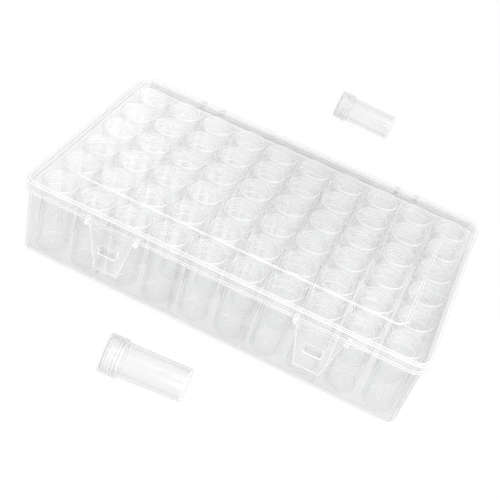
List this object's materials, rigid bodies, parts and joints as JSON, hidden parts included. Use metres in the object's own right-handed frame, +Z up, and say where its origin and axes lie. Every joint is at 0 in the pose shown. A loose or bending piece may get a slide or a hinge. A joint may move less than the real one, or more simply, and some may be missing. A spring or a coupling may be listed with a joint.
{
  "type": "bead storage box",
  "caption": "Flat clear case with a hinged lid and front clasps, filled with a grid of clear screw-capped bead jars, with spare jars lying beside it.",
  "frame": {"origin": "on the surface that the case stands on, at the middle of the case's underside", "axes": "+Z up, the clasps and the case's front face -Y, the lid's hinge is at +Y, the case's long side runs along X"},
  "size_m": [0.275, 0.4099, 0.0598],
  "materials": {
    "clear_case": "clear polystyrene, gloss",
    "clear_jar": "clear polystyrene, gloss"
  },
  "bodies": {
    "case": {"base_tray": "clear_case", "jar_tubes_column_01": "clear_jar", "jar_caps_column_01": "clear_jar", "jar_tubes_column_02": "clear_jar", "jar_caps_column_02": "clear_jar", "jar_tubes_column_03": "clear_jar", "jar_caps_column_03": "clear_jar", "jar_tubes_column_04": "clear_jar", "jar_caps_column_04": "clear_jar", "jar_tubes_column_05": "clear_jar", "jar_caps_column_05": "clear_jar", "jar_tubes_column_06": "clear_jar", "jar_caps_column_06": "clear_jar", "jar_tubes_column_07": "clear_jar", "jar_caps_column_07": "clear_jar", "jar_tubes_column_08": "clear_jar", "jar_caps_column_08": "clear_jar", "jar_tubes_column_09": "clear_jar", "jar_caps_column_09": "clear_jar", "jar_tubes_column_10": "clear_jar", "jar_caps_column_10": "clear_jar"},
    "lid": {"lid_cover": "clear_case"},
    "clasp_left": {"clasp_left": "clear_case"},
    "clasp_right": {"clasp_right": "clear_case"},
    "front_jar": {"loose_front_tube": "clear_jar"},
    "front_jar_cap": {"loose_front_cap": "clear_jar"},
    "rear_jar": {"loose_rear_tube": "clear_jar"},
    "rear_jar_cap": {"loose_rear_cap": "clear_jar"}
  },
  "joints": [
    {"name": "lid_hinge", "type": "hinge", "parent": "case", "child": "lid", "pos_m": [0, 0.0878, 0.051], "axis": [-1, 0, 0], "range_deg": [0, 110]},
    {"name": "clasp_left_hinge", "type": "hinge", "parent": "lid", "child": "clasp_left", "pos_m": [-0.071, -0.0865, 0.0502], "axis": [-1, 0, 0], "range_deg": [0, 110]},
    {"name": "clasp_right_hinge", "type": "hinge", "parent": "lid", "child": "clasp_right", "pos_m": [0.071, -0.0865, 0.0502], "axis": [-1, 0, 0], "range_deg": [0, 110]},
    {"name": "front_jar_lift", "type": "slide", "parent": "case", "child": "front_jar", "axis": [0, 0, 1], "range_m": [0, 0.1]},
    {"name": "front_cap_turn", "type": "hinge", "parent": "front_jar", "child": "front_jar_cap", "pos_m": [-0.03888, -0.14073, 0.01281], "axis": [-0.9916, -0.1218, 0.0439], "range_deg": [0, 450]},
    {"name": "rear_jar_lift", "type": "slide", "parent": "case", "child": "rear_jar", "axis": [0, 0, 1], "range_m": [0, 0.1]},
    {"name": "rear_cap_turn", "type": "hinge", "parent": "rear_jar", "child": "rear_jar_cap", "pos_m": [-0.01277, 0.2447, 0.01281], "axis": [-0.999, 0, 0.0439], "range_deg": [0, 450]}
  ]
}
